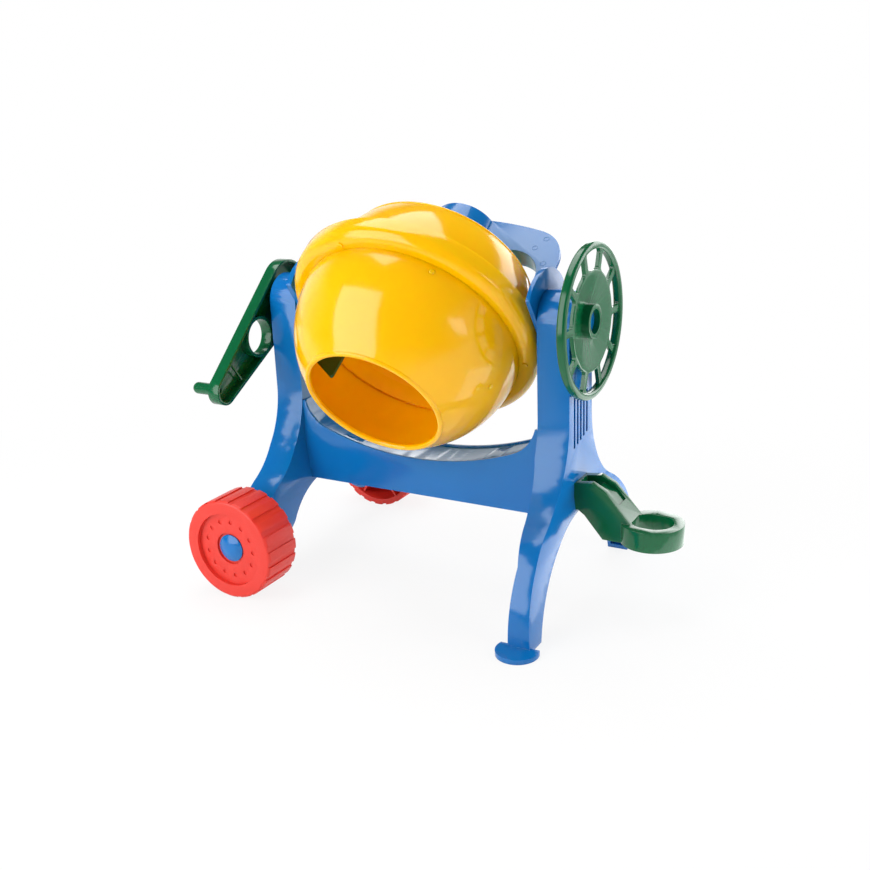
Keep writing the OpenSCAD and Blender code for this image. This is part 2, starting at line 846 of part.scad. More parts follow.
module tilt_yoke() {
    placed() drum_axes() color(blue) difference() {
        union() {
            along_y(yoke_up - yoke_plate_t, yoke_up) yoke_plan(0);
            along_y(-yoke_down, yoke_up - eps) yoke_plan(yoke_lip);
            box([yoke_in_w, -flange_down, -arm_s - flange_t], [ear_in + eps, yoke_up, -arm_s]);
            box([-ear_in - eps, -flange_down, -arm_s - flange_t], [-yoke_in_w, yoke_up, -arm_s]);
            difference() {
                z_cyl(-yoke_back_s, -boss_front_s, boss_r);
                z_cyl(-yoke_back_s - eps, -boss_front_s - boss_wall, boss_r - boss_wall);
            }
            z_cyl(-yoke_back_s, -boss_front_s, tube_r);
            yoke_ear(ear_in, right_ear_out);
            yoke_ear(left_ear_out, -ear_in);
            x_cyl(right_ear_out - eps, trunnion_out, trunnion_r);
            x_cyl(left_out, left_ear_out + eps, trunnion_r);
        }
        z_cyl(-yoke_back_s - eps, -boss_front_s + eps, spindle_r + seat_gap);
        x_cyl(left_out - eps, eps - ear_in, shaft_r + run_gap);
    }
}

// Window of the hand wheel between two spokes, cut from the web
module hand_window() {
    half_a = 180 / hand_window_count;
    difference() {
        ring_2d(hand_r - hand_rim_w + eps, hand_disc_r);
        for (side = [-1, 1])
            rotate(side * half_a) translate([-hand_r, -hand_spoke_w / 2 - (side > 0 ? 0 : 2 * hand_r)])
                square([2 * hand_r, 2 * hand_r + hand_spoke_w]);
    }
}

module hand_wheel() {
    round_r = 2.4;
    rim_in = hand_r - hand_rim_w;
    web_half = hand_web_t / 2;
    dish_r = hand_boss_r - 1;
    cone_r = hand_disc_r - 2;
    placed() at_pivot() color(green) translate([hand_x, 0, 0]) rotate([0, 90, 0]) difference() {
        union() {
            rotate_extrude() {
                translate([rim_in, round_r - hand_rim_t / 2]) square([hand_rim_w, hand_rim_t - 2 * round_r]);
                translate([rim_in + round_r, -hand_rim_t / 2]) square([hand_rim_w - 2 * round_r, hand_rim_t]);
                for (rx = [rim_in + round_r, hand_r - round_r], rz = [-1, 1])
                    translate([rx, rz * (hand_rim_t / 2 - round_r)]) circle(round_r);
            }
            difference() {
                rotate_extrude() polygon([
                    [0, -hand_dish - web_half], [0, web_half - hand_dish], [dish_r, web_half - hand_dish],
                    [cone_r, web_half], [rim_in + 1, web_half], [rim_in + 1, -web_half],
                    [cone_r, -web_half], [dish_r, -hand_dish - web_half]
                ]);
                for (i = [0 : hand_window_count - 1])
                    rotate([0, 0, i * 360 / hand_window_count])
                        linear_extrude(2 * hand_web_t, center = true) hand_window();
            }
            z_cyl(hand_boss_in - hand_x, hand_boss_out - hand_x, hand_boss_r);
        }
        z_cyl(hand_boss_in - hand_x - eps, hand_boss_out - hand_x + eps, trunnion_r + seat_gap);
    }
}

washer_s = hub_front_s - free_gap;
washer_t = 2;
module drum_spindle() {
    placed() drum_axes() color(steel) difference() {
        z_cyl(-yoke_back_s, -washer_s, spindle_r);
        z_cyl(-washer_s - screw_l, -washer_s + eps, screw_r);
    }
}

module spindle_washer() {
    placed() drum_axes() color(steel) difference() {
        z_cyl(-washer_s, washer_t - washer_s, bush_r + 2);
        z_cyl(-washer_s - eps, washer_t - washer_s + eps, screw_r);
    }
}

module spindle_screw() {
    placed() drum_axes() color(steel) {
        z_cyl(washer_t - washer_s, washer_t + screw_head_t - washer_s, screw_head_r);
        z_cyl(eps - washer_s - screw_l, washer_t + eps - washer_s, screw_r - seat_gap);
    }
}

// Wedge of the front bowl's section between the seam and the mouth
module mouth_wedge() {
    reach = 2 * bowl_r;
    translate([0, seam_s])
        polygon([[0, 0], reach * [sin(mouth_a), cos(mouth_a)], [reach, reach * cos(mouth_a)], [reach, 0]]);
}

// Places of rivets on the front bowl: count of them, distance from the seam, angle of the first
module at_bowl(count, s, turn) {
    for (i = [0 : count - 1])
        rotate([0, 0, turn + i * 360 / count]) translate([0, 0, seam_s])
            rotate([0, 90 - asin(s / bowl_r), 0]) children();
}

seam_rivet_turn = 57;
blade_rivet_turn = -6;
collar_boss_turn = -15;
collar_boss_r = (bowl_r + collar_r) / 2 - 2;
module at_rivets() {
    at_bowl(rivet_count, rivet_s, seam_rivet_turn) children();
    at_bowl(2, blade_rivet_s, blade_rivet_turn) children();
}

module drum_front_shell() {
    placed() drum_axes() color(yellow) difference() {
        rotate_extrude() {
            intersection() {
                translate([0, seam_s]) ring_2d(bowl_r, bowl_r - drum_wall);
                mouth_wedge();
            }
            translate([0, seam_s] + (bowl_r - drum_wall / 2) * [sin(mouth_a), cos(mouth_a)])
                circle(d = rim_d);
            translate([bowl_r - 2 * drum_wall, seam_s - spigot_l])
                square([drum_wall - seat_gap, spigot_l + eps]);
            translate([bowl_r - 2 * drum_wall, seam_s]) square([1.5 * drum_wall, spigot_l]);
        }
        at_rivets() z_cyl(bowl_r - 3 * drum_wall, bowl_r + drum_wall, rivet_r / 2);
    }
}

rivet_head_t = 1.2;
module drum_rivets() {
    placed() drum_axes() color(yellow) at_rivets() {
        z_cyl(bowl_r - drum_wall / 2, bowl_r + seat_gap, rivet_r / 2 - seat_gap);
        intersection() {
            z_cyl(bowl_r + seat_gap / 2, bowl_r + rivet_r, rivet_r);
            translate([0, 0, bowl_r + rivet_head_t - 2 * rivet_r]) sphere(2 * rivet_r);
        }
    }
}

module rear_shell_body() {
    rotate_extrude() difference() {
        union() {
            intersection() {
                translate([0, collar_s]) ring_2d(bowl_r, bowl_r - drum_wall);
                translate([0, -rear_s]) square([bowl_r, rear_s + collar_s]);
            }
            translate([bowl_r - drum_wall, collar_s]) square([drum_wall, seam_s - collar_s]);
            translate([bowl_r - 1, collar_s])
                square([collar_r - bowl_r + 1, seam_s - collar_s - collar_round]);
            translate([bowl_r - 1, collar_s])
                square([collar_r - collar_round - bowl_r + 1, seam_s - collar_s]);
            intersection() {
                translate([collar_r - collar_round, seam_s - collar_round]) circle(collar_round);
                translate([bowl_r - 1, collar_s]) square([collar_r, seam_s - collar_s]);
            }
            translate([rear_rim_r - 1, -rear_s]) circle(lip_r);
            intersection() {
                translate([0, dome_r - dome_s]) ring_2d(dome_r, dome_r - drum_wall);
                translate([0, -dome_s]) square([rear_rim_r, dome_depth + drum_wall]);
            }
            translate([0, -hub_back_s]) square([hub_r, hub_back_s - hub_front_s]);
        }
        translate([0, -hub_back_s - eps]) square([bush_r, hub_back_s - hub_front_s + 2 * eps]);
        translate([bowl_r, collar_s - collar_round])
            square([skirt_in_r - bowl_r, ring_floor_s - collar_s + collar_round]);
    }
}

module drum_rear_shell() {
    placed() drum_axes() color(yellow) union() {
        rear_shell_body();
        for (i = [0 : rivet_count - 1])
            rotate([0, 0, collar_boss_turn + i * 360 / rivet_count])
                translate([collar_boss_r, 0, seam_s - drum_wall / 2])
                    z_cyl(0, drum_wall / 2 + rivet_head_t, rivet_r);
    }
}

module spindle_bush() {
    placed() drum_axes() color(green) difference() {
        z_cyl(-hub_back_s, -hub_front_s, bush_r - seat_gap);
        z_cyl(-hub_back_s - eps, -hub_front_s + eps, spindle_r + run_gap);
    }
}

// Section of a gear ring tooth, pointing to the pinion
module ring_tooth() {
    root_w = tooth_t + 2 * ring_ded * tan(pressure_angle);
    tip_w = tooth_t - 2 * ring_add * tan(pressure_angle);
    polygon([
        [-root_w / 2, ring_root_s + eps], [-root_w / 2, ring_root_s], [-tip_w / 2, pitch_r - ring_add],
        [tip_w / 2, pitch_r - ring_add], [root_w / 2, ring_root_s], [root_w / 2, ring_root_s + eps]
    ]);
}

module drum_gear_ring() {
    tooth_trim = 0.3;
    placed() drum_axes() color(green) union() {
        rotate_extrude()
            translate([ring_in_r, ring_root_s]) square([ring_face, ring_floor_s - seat_gap - ring_root_s]);
        for (i = [0 : ring_teeth - 1])
            rotate([0, 0, 180 + i * 360 / ring_teeth])
                along_x(ring_in_r + tooth_trim, ring_out_r - tooth_trim) ring_tooth();
    }
}

// Involute pinion: half angle of a tooth at radius r
base_r = pitch_r * cos(pressure_angle);
function roll(a) = tan(a) * 180 / PI - a;
function half_tooth(r) =
    tooth_t / 2 / pitch_r * 180 / PI + roll(pressure_angle) - roll(acos(min(1, base_r / r)));
flank_steps = 5;
pinion_root_r = pitch_r - pinion_ded;
flank = [
    pinion_root_r,
    for (i = [0 : flank_steps]) base_r + (pinion_tip_r - base_r) * i / flank_steps
];
function tooth_points(a) = concat(
    [for (r = flank) polar(r, a - half_tooth(r))],
    [for (i = [len(flank) - 1 : -1 : 0]) polar(flank[i], a + half_tooth(flank[i]))]
);

module drive_pinion() {
    placed() drum_axes() color(green) difference() {
        union() {
            along_x(pinion_out, pinion_in)
                polygon([
                    for (i = [0 : pinion_teeth - 1])
                        each tooth_points(90 + (i + 0.5) * 360 / pinion_teeth)
                ]);
            x_cyl(pinion_out - 3, pinion_out + eps, pinion_hub_r);
        }
        x_cyl(pinion_out - 4, pinion_in + eps, shaft_r + seat_gap);
    }
}

// A mixing blade on the inside of the front bowl, at a place round the drum
blade_low_s = seam_s + spigot_l + 2;
module mixing_blade(turn) {
    placed() drum_axes() color(green) rotate([0, 0, turn]) intersection() {
        rotate_extrude() intersection() {
            translate([0, seam_s]) circle(bowl_r - drum_wall - seat_gap);
            polygon([
                [blade_in_r, blade_low_s], [blade_in_r, blade_tip_s],
                [bowl_r, blade_tip_s - (bowl_r - blade_in_r) * tan(blade_slant)], [bowl_r, blade_low_s]
            ]);
        }
        box([0, -blade_t / 2, 0], [bowl_r, blade_t / 2, 2 * bowl_r]);
    }
}

module mixing_blade_a() {
    mixing_blade(180);
}

module mixing_blade_b() {
    mixing_blade(0);
}

// Plan of the crank arm, drawn inside the true one by e
module crank_plan(e) {
    rotate(180 + crank_angle) translate([-crank_tail, 0])
        link_2d(crank_head_r - e, crank_tip_r - e, crank_l + crank_tail);
}

module crank_at(l) {
    rotate([180 + crank_angle, 0, 0]) translate([0, l, 0]) children();
}

module crank() {
    floor_x = crank_out + crank_wall;
    placed() at_pivot() color(green) difference() {
        union() {
            difference() {
                along_x(crank_out, crank_in) crank_plan(0);
                along_x(floor_x, crank_in + eps) crank_plan(crank_wall);
            }
            x_cyl(crank_out, left_out - free_gap, crank_boss_r);
            crank_at(window_l) x_cyl(crank_out, crank_in, window_r + crank_wall);
            crank_at(crank_l) {
                x_cyl(crank_out - handle_l + handle_r, floor_x, handle_r);
                translate([crank_out - handle_l + handle_r, 0, 0]) sphere(handle_r);
            }
        }
        crank_at(window_l) x_cyl(crank_out - eps, crank_in + eps, window_r);
        x_cyl(floor_x, left_out, shaft_r + seat_gap);
        x_cyl(crank_out - eps, floor_x + eps, screw_r + seat_gap);
        crank_at(crank_l) x_cyl(crank_out - handle_l / 2, floor_x + eps, handle_r / 2);
    }
}

module crank_shaft() {
    placed() at_pivot() color(steel) difference() {
        x_cyl(crank_out + crank_wall, pinion_in, shaft_r);
        x_cyl(crank_out, crank_out + crank_wall + screw_l, screw_r);
    }
}

module crank_screw() {
    placed() at_pivot() color(steel) {
        x_cyl(crank_out - screw_head_t, crank_out, screw_head_r);
        x_cyl(crank_out - eps, crank_out + crank_wall + screw_l - eps, screw_r - seat_gap);
    }
}

left_tower();
right_tower();
cross_panel();
frame_screws();
left_bush();
right_bush();
tow_hitch();
hitch_screws();
front_axle();
rear_axle();
tilt_yoke();
hand_wheel();
drum_spindle();
spindle_washer();
spindle_screw();
drum_front_shell();
drum_rear_shell();
drum_gear_ring();
spindle_bush();
drum_rivets();
mixing_blade_a();
mixing_blade_b();
crank();
crank_shaft();
drive_pinion();
crank_screw();
front_wheel();
rear_wheel();
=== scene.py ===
# %% [markdown]
# # A toy concrete mixer, dressed
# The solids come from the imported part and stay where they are. This lesson gives them
# the rounded edges, the glossy moulded plastic and the studio that the real toy has.
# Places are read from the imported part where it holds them, so that the dress fits.

# %% Load the solids
import json
import math

import bmesh
import bpy
from mathutils import Matrix, Quaternion, Vector


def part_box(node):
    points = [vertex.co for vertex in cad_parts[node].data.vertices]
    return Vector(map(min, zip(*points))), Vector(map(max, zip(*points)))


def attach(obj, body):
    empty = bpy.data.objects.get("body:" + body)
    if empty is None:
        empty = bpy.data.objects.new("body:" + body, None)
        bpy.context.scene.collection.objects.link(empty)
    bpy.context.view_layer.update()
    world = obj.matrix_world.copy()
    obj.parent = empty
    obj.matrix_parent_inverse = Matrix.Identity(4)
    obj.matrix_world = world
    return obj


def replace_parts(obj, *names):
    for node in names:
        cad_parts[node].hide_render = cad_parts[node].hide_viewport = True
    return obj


MM = 0.001
ALONG_X = Vector((1, 0, 0))

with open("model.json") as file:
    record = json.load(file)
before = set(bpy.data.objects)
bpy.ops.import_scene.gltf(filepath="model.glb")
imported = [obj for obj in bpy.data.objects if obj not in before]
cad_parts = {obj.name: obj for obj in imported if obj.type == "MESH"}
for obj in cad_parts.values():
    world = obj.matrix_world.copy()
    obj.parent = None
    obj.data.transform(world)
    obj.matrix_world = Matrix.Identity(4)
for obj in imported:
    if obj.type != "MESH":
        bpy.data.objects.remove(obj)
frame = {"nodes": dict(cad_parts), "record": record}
nodes = frame["nodes"]
behaviour = frame["record"]["behaviour"]
body_of = {node: body for body, members in behaviour["bodies"].items() for node in members}
slot_of = {part["node"]: part["material_slot"] for part in frame["record"]["subparts"]}
joint_of = {joint["name"]: joint for joint in behaviour["joints"]}
PIVOT = Vector(joint_of["drum_turn"]["pos_m"])
MOUTH_WAY = Vector(joint_of["drum_turn"]["axis"])
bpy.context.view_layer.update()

# %% [markdown]
# ## Camera
# The toy stands turned by thirty degrees and is seen from a little above. A real camera
# is never quite level, so the frame is also rolled by two degrees. The camera could be
# set by eye, but matching the straight edges of the panel and the circles of the drum
# fixes its place and lens far better, and the matrix below takes them as numbers.

# %% Camera
CAMERA_AT = Vector((448.0, -804.08, 426.79)) * MM
AZIMUTH = math.radians(30.06)
ELEVATION = math.radians(18.04)
ROLL = math.radians(-2.31)
LENS_MM = 45.41


def linked(name, data):
    thing = bpy.data.objects.new(name, data)
    bpy.context.scene.collection.objects.link(thing)
    return thing


back = Vector((
    math.sin(AZIMUTH) * math.cos(ELEVATION),
    -math.cos(AZIMUTH) * math.cos(ELEVATION),
    math.sin(ELEVATION),
))
right = Vector((math.cos(AZIMUTH), math.sin(AZIMUTH), 0))
up = back.cross(right)
rolled_right = right * math.cos(ROLL) + up * math.sin(ROLL)
rolled_up = up * math.cos(ROLL) - right * math.sin(ROLL)
pointing = Matrix((rolled_right, rolled_up, back)).transposed().to_4x4()
camera = linked("camera", bpy.data.cameras.new("camera"))
camera.data.lens = LENS_MM
camera.matrix_world = Matrix.Translation(CAMERA_AT) @ pointing
bpy.context.scene.camera = camera
bpy.context.scene.view_settings.view_transform = "Standard"
print("camera looks along", tuple(round(-c, 3) for c in back))

# %% [markdown]
# ## Nodes and colours
# Materials and Geometry Nodes are graphs. They could be drawn in the node editor, but a
# script can be read through and run again. One small function adds a node with its
# settings and links. A node that is given as an input stands for its first output, and a
# list fills a socket that takes several links. The other function turns a colour picked
# in sRGB into the linear values that the shader works in.

# %% Helpers for nodes and colours


def add(tree, kind, inputs=None, **settings):
    node = tree.nodes.new(kind)
    for name, value in settings.items():
        setattr(node, name, value)
    for name, value in (inputs or {}).items():
        for source in value if isinstance(value, list) else [value]:
            if isinstance(source, bpy.types.Node):
                source = source.outputs[0]
            if isinstance(source, bpy.types.NodeSocket):
                tree.links.new(source, node.inputs[name])
            else:
                node.inputs[name].default_value = source
    return node


def linear(code):
    shares = [int(code[i:i + 2], 16) / 255 for i in (1, 3, 5)]
    return (*(s / 12.92 if s <= 0.04045 else ((s + 0.055) / 1.055) ** 2.4 for s in shares), 1)


print("middle grey in linear values:", linear("#808080"))

# %% [markdown]
# ## Moulded polypropylene
# Every coloured piece is injection-moulded polypropylene. It comes out of a polished
# mould glossy, with a very faint ripple where it shrank, a tint that drifts by a few
# per cent over some centimetres, and fine handling marks that roughen the gloss. A plain
# colour would look like paint, and an image would need unwrapping, so noise on Object
# coordinates draws all three at their real sizes. The walls let some light in, red light
# furthest in the drum, and subsurface scattering warms its inside with it. A Mix node has
# a pair of inputs A and B for each type of value, so the script picks them by number.

# %% Moulded plastic
RIPPLE_MM = 14
RIPPLE_DEPTH_MM = 0.4
DRIFT_MM = 70
SCUFF_MM = 1.6
SCUFF_ENDS = (0.3, 0.7)
SCUFF_SHARES = (0.8, 1.3)
LIGHT_DEPTH_MM = 4
PLASTIC_IOR = 1.49
COLOUR_A, COLOUR_B, COLOUR_OUT = 6, 7, 2


def new_material(name):
    material = bpy.data.materials.new(name)
    material.use_nodes = True
    material.node_tree.nodes.clear()
    return material, material.node_tree


def moulded_polypropylene(name, colour, shade, roughness, ripple, glow, reach):
    material, tree = new_material(name)
    place = add(tree, "ShaderNodeTexCoord").outputs["Object"]
    drift = add(tree, "ShaderNodeTexNoise", {
        "Vector": place, "Scale": 1 / (DRIFT_MM * MM), "Detail": 2})
    tint = add(tree, "ShaderNodeMix", {
        "Factor": drift, COLOUR_A: linear(colour), COLOUR_B: linear(shade)}, data_type="RGBA")
    scuff = add(tree, "ShaderNodeTexNoise", {
        "Vector": place, "Scale": 1 / (SCUFF_MM * MM), "Detail": 4})
    gloss = add(tree, "ShaderNodeMapRange", {
        "Value": scuff, "From Min": SCUFF_ENDS[0], "From Max": SCUFF_ENDS[1],
        "To Min": roughness * SCUFF_SHARES[0], "To Max": roughness * SCUFF_SHARES[1]})
    wave = add(tree, "ShaderNodeTexNoise", {
        "Vector": place, "Scale": 1 / (RIPPLE_MM * MM), "Detail": 1})
    bump = add(tree, "ShaderNodeBump", {
        "Height": wave, "Strength": ripple, "Distance": RIPPLE_DEPTH_MM * MM})
    shader = add(tree, "ShaderNodeBsdfPrincipled", {
        "Base Color": tint.outputs[COLOUR_OUT], "Roughness": gloss, "IOR": PLASTIC_IOR,
        "Subsurface Weight": glow, "Subsurface Radius": reach,
        "Subsurface Scale": LIGHT_DEPTH_MM * MM, "Normal": bump})
    add(tree, "ShaderNodeOutputMaterial", {"Surface": shader})
    return material


finish_of = {
    "drum_yellow": moulded_polypropylene(
        "yellow_polypropylene", "#F8BE00", "#F4B800",
        roughness=0.12, ripple=0.2, glow=0.5, reach=(1.5, 0.7, 0.05)),
    "frame_blue": moulded_polypropylene(
        "blue_polypropylene", "#0870BA", "#0768AF",
        roughness=0.15, ripple=0.25, glow=0.1, reach=(0.1, 0.3, 1.0)),
    "drive_green": moulded_polypropylene(
        "green_polypropylene", "#046038", "#045731",
        roughness=0.15, ripple=0.25, glow=0.1, reach=(0.2, 1.0, 0.4)),
    "wheel_red": moulded_polypropylene(
        "red_polypropylene", "#E0372A", "#D83023",
        roughness=0.42, ripple=0.25, glow=0.2, reach=(1.0, 0.2, 0.1)),
}
print("plastics:", [finish.name for finish in finish_of.values()])

# %% [markdown]
# ## Zinc-plated steel
# The screws, the shafts and the spindle are bright zinc-plated steel: a metal mirror that
# a fine crystal grain breaks up. A bump could draw the grain, but from here it only shows
# as duller and brighter spots, so a noise changes the roughness alone. The real grain is
# too fine to show and is drawn coarser.

# %% Zinc-plated steel
GRAIN_MM = 0.6
ZINC_ROUGHNESS = (0.25, 0.4)


def zinc_plated_steel():
    material, tree = new_material("zinc_plated_steel")
    place = add(tree, "ShaderNodeTexCoord").outputs["Object"]
    grain = add(tree, "ShaderNodeTexNoise", {
        "Vector": place, "Scale": 1 / (GRAIN_MM * MM), "Detail": 3})
    gloss = add(tree, "ShaderNodeMapRange", {
        "Value": grain, "To Min": ZINC_ROUGHNESS[0], "To Max": ZINC_ROUGHNESS[1]})
    shader = add(tree, "ShaderNodeBsdfPrincipled", {
        "Base Color": linear("#C3C6C9"), "Metallic": 1.0, "Roughness": gloss})
    add(tree, "ShaderNodeOutputMaterial", {"Surface": shader})
    return material


finish_of["screw_steel"] = zinc_plated_steel()
print("metal:", finish_of["screw_steel"].name)

# %% [markdown]
# ## Rounded edges
# Moulded plastic has no knife edges: each one is rounded, and catches a thin line of
# light. A shader can fake that, but the exported mesh would stay sharp. So a copy of each
# visible solid is merged, its flat triangles are joined into whole faces, and a Bevel
# modifier rounds every sharp edge. The mixing blades end in a rounder tip, which is cut
# first.

# %% Rounding
WELD_M = 4e-6
FLAT_ANGLE = math.radians(0.1)
EDGE_ANGLE = math.radians(28)
EDGE_STEPS = 3
TIP_STEPS = 6
TIP_SLACK_MM = 0.2


def round_tip(shape, radius_mm):
    tip_at = max(vert.co.dot(MOUTH_WAY) for vert in shape.verts) - TIP_SLACK_MM * MM
    tip = [edge for edge in shape.edges
           if all(vert.co.dot(MOUTH_WAY) > tip_at for vert in edge.verts)]
    bmesh.ops.bevel(shape, geom=tip, offset=radius_mm * MM, offset_type="OFFSET",
                    segments=TIP_STEPS, profile=0.5, affect="EDGES", clamp_overlap=True)


def settled(piece):
    graph = bpy.context.evaluated_depsgraph_get()
    mesh = bpy.data.meshes.new_from_object(piece.evaluated_get(graph))
    piece.modifiers.clear()
    piece.data = mesh
    mesh.set_sharp_from_angle(angle=EDGE_ANGLE)
    return mesh


def rounded(node, radius_mm, tip_mm=0):
    mesh = nodes[node].data.copy()
    mesh.materials.clear()
    shape = bmesh.new()
    shape.from_mesh(mesh)
    bmesh.ops.remove_doubles(shape, verts=shape.verts, dist=WELD_M)
    bmesh.ops.dissolve_limit(shape, angle_limit=FLAT_ANGLE, verts=shape.verts, edges=shape.edges)
    if tip_mm:
        round_tip(shape, tip_mm)
    shape.to_mesh(mesh)
    shape.free()
    for polygon in mesh.polygons:
        polygon.use_smooth = True
    piece = linked(node + "_moulding", mesh)
    bevel = piece.modifiers.new("edges", "BEVEL")
    bevel.width = radius_mm * MM
    bevel.segments = EDGE_STEPS
    bevel.limit_method = "ANGLE"
    bevel.angle_limit = EDGE_ANGLE
    bevel.harden_normals = True
    bevel.use_clamp_overlap = True
    finished = settled(piece)
    finished.materials.append(finish_of[slot_of[node]])
    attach(piece, body_of[node])
    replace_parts(piece, node)
    print(piece.name, "faces:", len(finished.polygons))


print("edges are rounded from", round(math.degrees(EDGE_ANGLE)), "degrees up")

# %% [markdown]
# The thick frame has the widest roundings, and the thin spokes, lugs and blades the
# narrowest. One width for all would fill the small pieces or leave the towers sharp.

# %% Mouldings with rounded edges
EDGE_MM = {
    "left_tower": 1.8, "right_tower": 1.8, "cross_panel": 1.4, "tilt_yoke": 1.4,
    "tow_hitch": 1.8, "crank": 1.0, "hand_wheel": 0.7, "front_wheel": 0.7,
    "rear_wheel": 0.7, "drum_front_shell": 0.6, "drum_rear_shell": 0.8,
}
BLADE_EDGE_MM = 0.5
BLADE_TIP_MM = 4.4
for node, radius_mm in EDGE_MM.items():
    rounded(node, radius_mm)
for node in ("mixing_blade_a", "mixing_blade_b"):
    rounded(node, BLADE_EDGE_MM, BLADE_TIP_MM)

# %% [markdown]
# ## Small repeated pieces
# Rivets, screws, the rings left by the mould's ejector pins and the fillets of the hand
# wheel's windows repeat. They could be copied by hand, but Geometry Nodes keep one shape
# and spread it. Each tree takes its sizes as named inputs, ends in real geometry with its
# finish, and becomes a plain mesh that rides on its body.

# %% Trees with named sizes
SOCKETS = {int: "NodeSocketInt", float: "NodeSocketFloat", tuple: "NodeSocketVector"}


def sized_tree(name, sizes):
    tree = bpy.data.node_groups.new(name, "GeometryNodeTree")
    tree.interface.new_socket("Places", in_out="INPUT", socket_type="NodeSocketGeometry")
    for label, value in sizes.items():
        tree.interface.new_socket(label, in_out="INPUT", socket_type=SOCKETS[type(value)])
    tree.interface.new_socket("Pieces", in_out="OUTPUT", socket_type="NodeSocketGeometry")
    return tree, add(tree, "NodeGroupInput").outputs


def spread_on(tree, places, shape, facing):
    smooth = add(tree, "GeometryNodeSetShadeSmooth", {"Geometry": shape})
    turned = add(tree, "FunctionNodeAlignRotationToVector", {"Vector": facing}, axis="Z")
    return add(tree, "GeometryNodeInstanceOnPoints", {
        "Points": places, "Instance": smooth, "Rotation": turned})


def end_tree(tree, pieces, finish):
    real = add(tree, "GeometryNodeRealizeInstances", {"Geometry": pieces})
    coated = add(tree, "GeometryNodeSetMaterial", {"Geometry": real, "Material": finish})
    add(tree, "NodeGroupOutput", {"Pieces": coated})
    print(tree.name, "nodes:", len(tree.nodes))


def grow(name, tree, sizes, body, seed):
    piece = linked(name, seed)
    maker = piece.modifiers.new("maker", "NODES")
    maker.node_group = tree
    for socket in tree.interface.items_tree:
        if socket.name in sizes:
            maker[socket.identifier] = sizes[socket.name]
    mesh = settled(piece)
    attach(piece, body)
    print(name, "faces:", len(mesh.polygons))
    return piece


print("a size may be:", [kind.__name__ for kind in SOCKETS])

# %% [markdown]
# The drum's rivets stand on the front bowl in two rings: three along the seam, and one
# over each of the two mixing blades. They could be scattered on the surface, but the
# rings are worked out from the bowl's radius, so each head sits on the bowl and points
# straight away from its centre.

# %% Rivets of the drum
SEAM_MM = 29.5
BOWL_CENTRE = PIVOT + MOUTH_WAY * SEAM_MM * MM
LEAN = (math.atan2(-MOUTH_WAY.y, MOUTH_WAY.z), 0, 0)
RIVET_STEPS = 32
rivet_sizes = {
    "Bowl radius": 98 * MM, "Head radius": 2.4 * MM, "Head height": 1.2 * MM,
    "Seam rivets": 3, "Seam angle": math.radians(57), "Seam distance": 6 * MM,
    "Blade rivets": 2, "Blade angle": math.radians(-6), "Blade distance": 40 * MM,
}
rivet_tree, rivet = sized_tree("rivets", rivet_sizes)


def rivet_row(tree, size, row):
    count, start, ahead = (size[row + what] for what in (" rivets", " angle", " distance"))
    bowl_squared = add(tree, "ShaderNodeMath", {0: size["Bowl radius"], 1: 2}, operation="POWER")
    ahead_squared = add(tree, "ShaderNodeMath", {0: ahead, 1: 2}, operation="POWER")
    reach_squared = add(tree, "ShaderNodeMath", {0: bowl_squared, 1: ahead_squared},
                        operation="SUBTRACT")
    reach = add(tree, "ShaderNodeMath", {0: reach_squared}, operation="SQRT")
    number = add(tree, "GeometryNodeInputIndex")
    step = add(tree, "ShaderNodeMath", {0: math.tau, 1: count}, operation="DIVIDE")
    angle = add(tree, "ShaderNodeMath", {0: number, 1: step, 2: start}, operation="MULTIPLY_ADD")
    first = add(tree, "ShaderNodeCombineXYZ", {"X": reach, "Z": ahead})
    place = add(tree, "ShaderNodeVectorRotate", {"Vector": first, "Angle": angle},
                rotation_type="Z_AXIS")
    return add(tree, "GeometryNodePoints", {"Count": count, "Position": place})


ball = add(rivet_tree, "GeometryNodeMeshUVSphere", {
    "Segments": RIVET_STEPS, "Rings": RIVET_STEPS // 2, "Radius": 1.0})
flat = add(rivet_tree, "ShaderNodeCombineXYZ", {
    "X": rivet["Head radius"], "Y": rivet["Head radius"], "Z": rivet["Head height"]})
rivet_head = add(rivet_tree, "GeometryNodeTransform", {"Geometry": ball, "Scale": flat})
rows = [rivet_row(rivet_tree, rivet, row) for row in ("Seam", "Blade")]
all_places = add(rivet_tree, "GeometryNodeJoinGeometry", {"Geometry": rows})
outward = add(rivet_tree, "GeometryNodeInputPosition")
upright = spread_on(rivet_tree, all_places, rivet_head, outward)
leaning = add(rivet_tree, "GeometryNodeTransform", {
    "Geometry": upright, "Translation": BOWL_CENTRE, "Rotation": LEAN})
end_tree(rivet_tree, leaning, finish_of["drum_yellow"])
rivet_heads = grow("drum_rivet_heads", rivet_tree, rivet_sizes, "drum",
                   bpy.data.meshes.new("rivets"))
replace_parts(rivet_heads, "drum_rivets")

# %% [markdown]
# The screws are pan heads with a cross recess. A turned profile would give the head but
# not the recess, so a short cylinder is cut by a large ball for its crown, and two
# crossed bars are taken out of the top. The head's top lies at the point that it is put
# on, and all the rest hangs below.

# %% Pan head screw
ROUND_STEPS = 48
CROWN_STEPS = 64
CROWN_SHARE = 1.7
screw_sizes = {
    "Head radius": 4 * MM, "Head height": 2.4 * MM,
    "Shank radius": 1.95 * MM, "Shank length": 12 * MM,
    "Recess length": 4.6 * MM, "Recess width": 1.1 * MM, "Recess depth": 1.2 * MM,
}
screw_tree, screw = sized_tree("pan_head_screws", screw_sizes)


def raised(tree, mesh, height):
    lift = add(tree, "ShaderNodeCombineXYZ", {"Z": height})
    return add(tree, "GeometryNodeTransform", {"Geometry": mesh, "Translation": lift})


